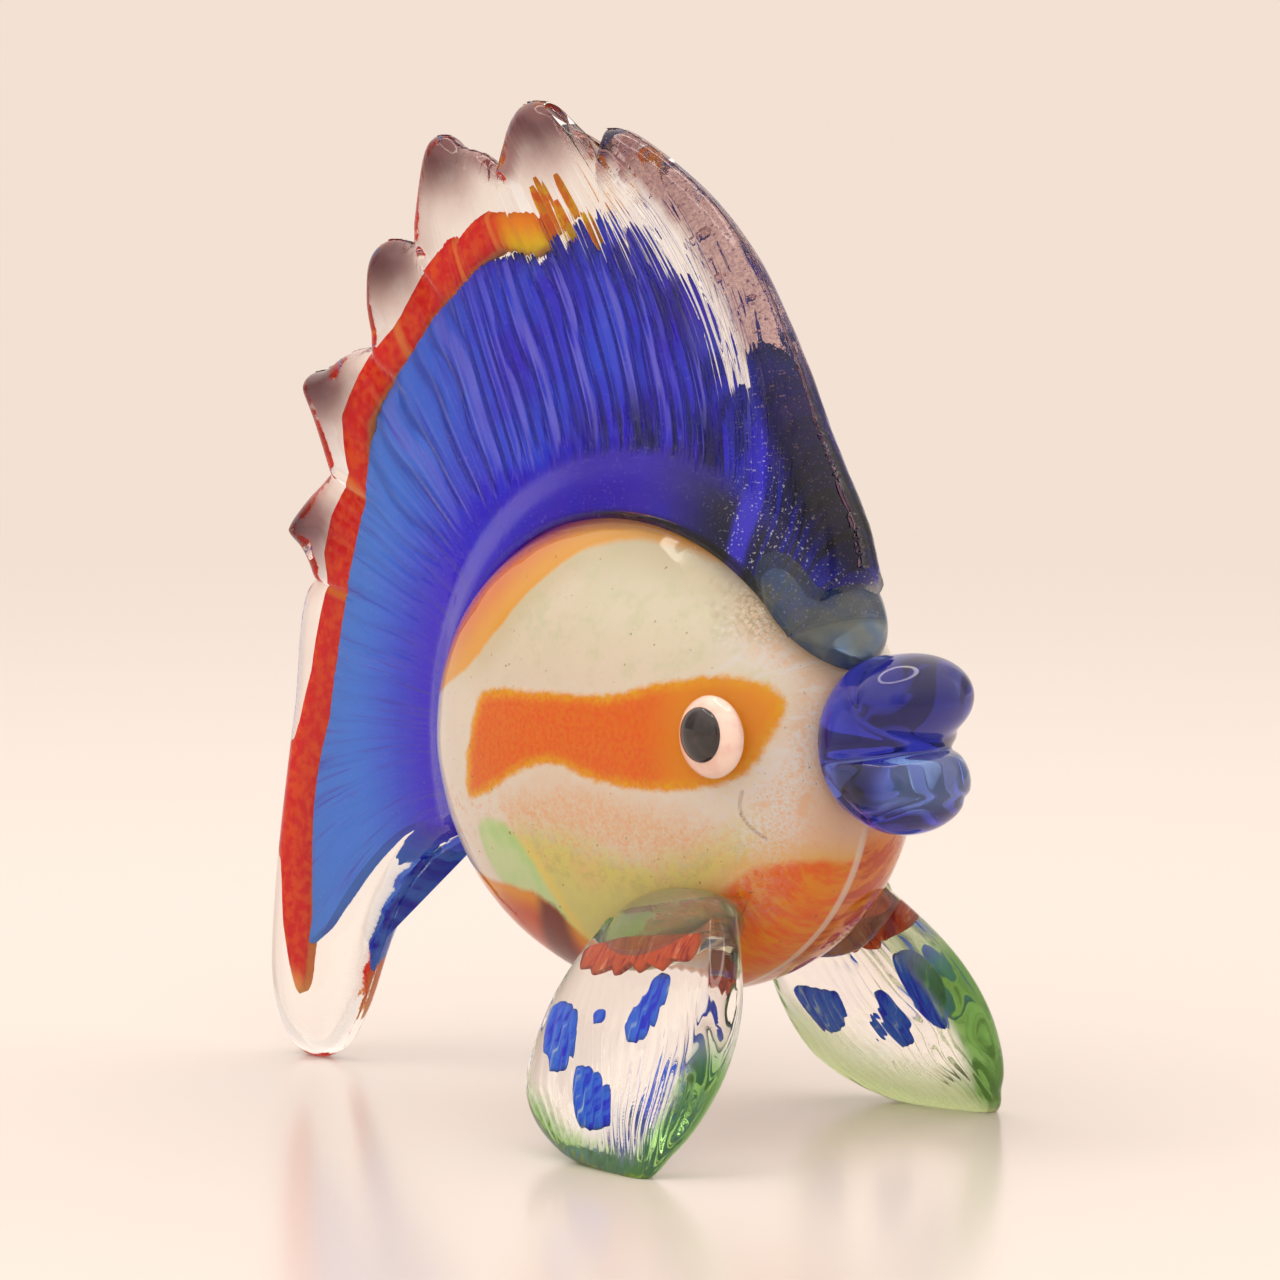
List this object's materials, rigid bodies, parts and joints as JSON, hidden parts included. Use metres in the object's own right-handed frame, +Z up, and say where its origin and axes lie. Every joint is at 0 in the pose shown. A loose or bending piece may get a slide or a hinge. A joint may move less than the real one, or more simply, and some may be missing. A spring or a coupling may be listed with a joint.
{
  "type": "fish figurine",
  "caption": "Small lampworked glass fish with a pebble-shaped body, a tall lobed crest running into the tail, and pectoral fins it stands on.",
  "frame": {"origin": "on the table, under the middle of the fish's bounding box", "axes": "+X the way the fish faces, +Y its left side, +Z up"},
  "size_m": [0.0767, 0.0422, 0.0803],
  "materials": {
    "clear_glass": "gloss, clear",
    "pale_green_glass": "gloss, milky",
    "orange_glass": "gloss",
    "red_glass": "gloss",
    "dark_green_glass": "gloss",
    "leaf_green_glass": "gloss",
    "cobalt_glass": "gloss",
    "blue_grey_glass": "gloss",
    "purple_glass": "gloss",
    "white_glass": "gloss, opaque",
    "black_glass": "gloss, opaque"
  },
  "bodies": {
    "root": {"back_band": "orange_glass", "belly_patch_left": "dark_green_glass", "belly_patch_right": "dark_green_glass", "body_casing": "clear_glass", "body_core": "pale_green_glass", "body_ground": "pale_green_glass", "chin_patch_left": "orange_glass", "chin_patch_right": "orange_glass", "crest_blue": "cobalt_glass", "crest_foot": "blue_grey_glass", "crest_front_tint": "purple_glass", "crest_glass": "clear_glass", "crest_red": "red_glass", "crest_tips": "purple_glass", "eye_white_left": "white_glass", "eye_white_right": "white_glass", "fin_glass_left": "clear_glass", "fin_glass_right": "clear_glass", "fin_green_edge_left": "leaf_green_glass", "fin_green_edge_right": "leaf_green_glass", "fin_pad_left": "clear_glass", "fin_pad_right": "clear_glass", "fin_root_band_left": "red_glass", "fin_root_band_right": "red_glass", "fin_spots_left": "cobalt_glass", "fin_spots_right": "cobalt_glass", "flank_stripe_left": "orange_glass", "flank_stripe_right": "orange_glass", "keel_band": "red_glass", "lips": "cobalt_glass", "pupil_left": "black_glass", "pupil_right": "black_glass"}
  },
  "joints": []
}
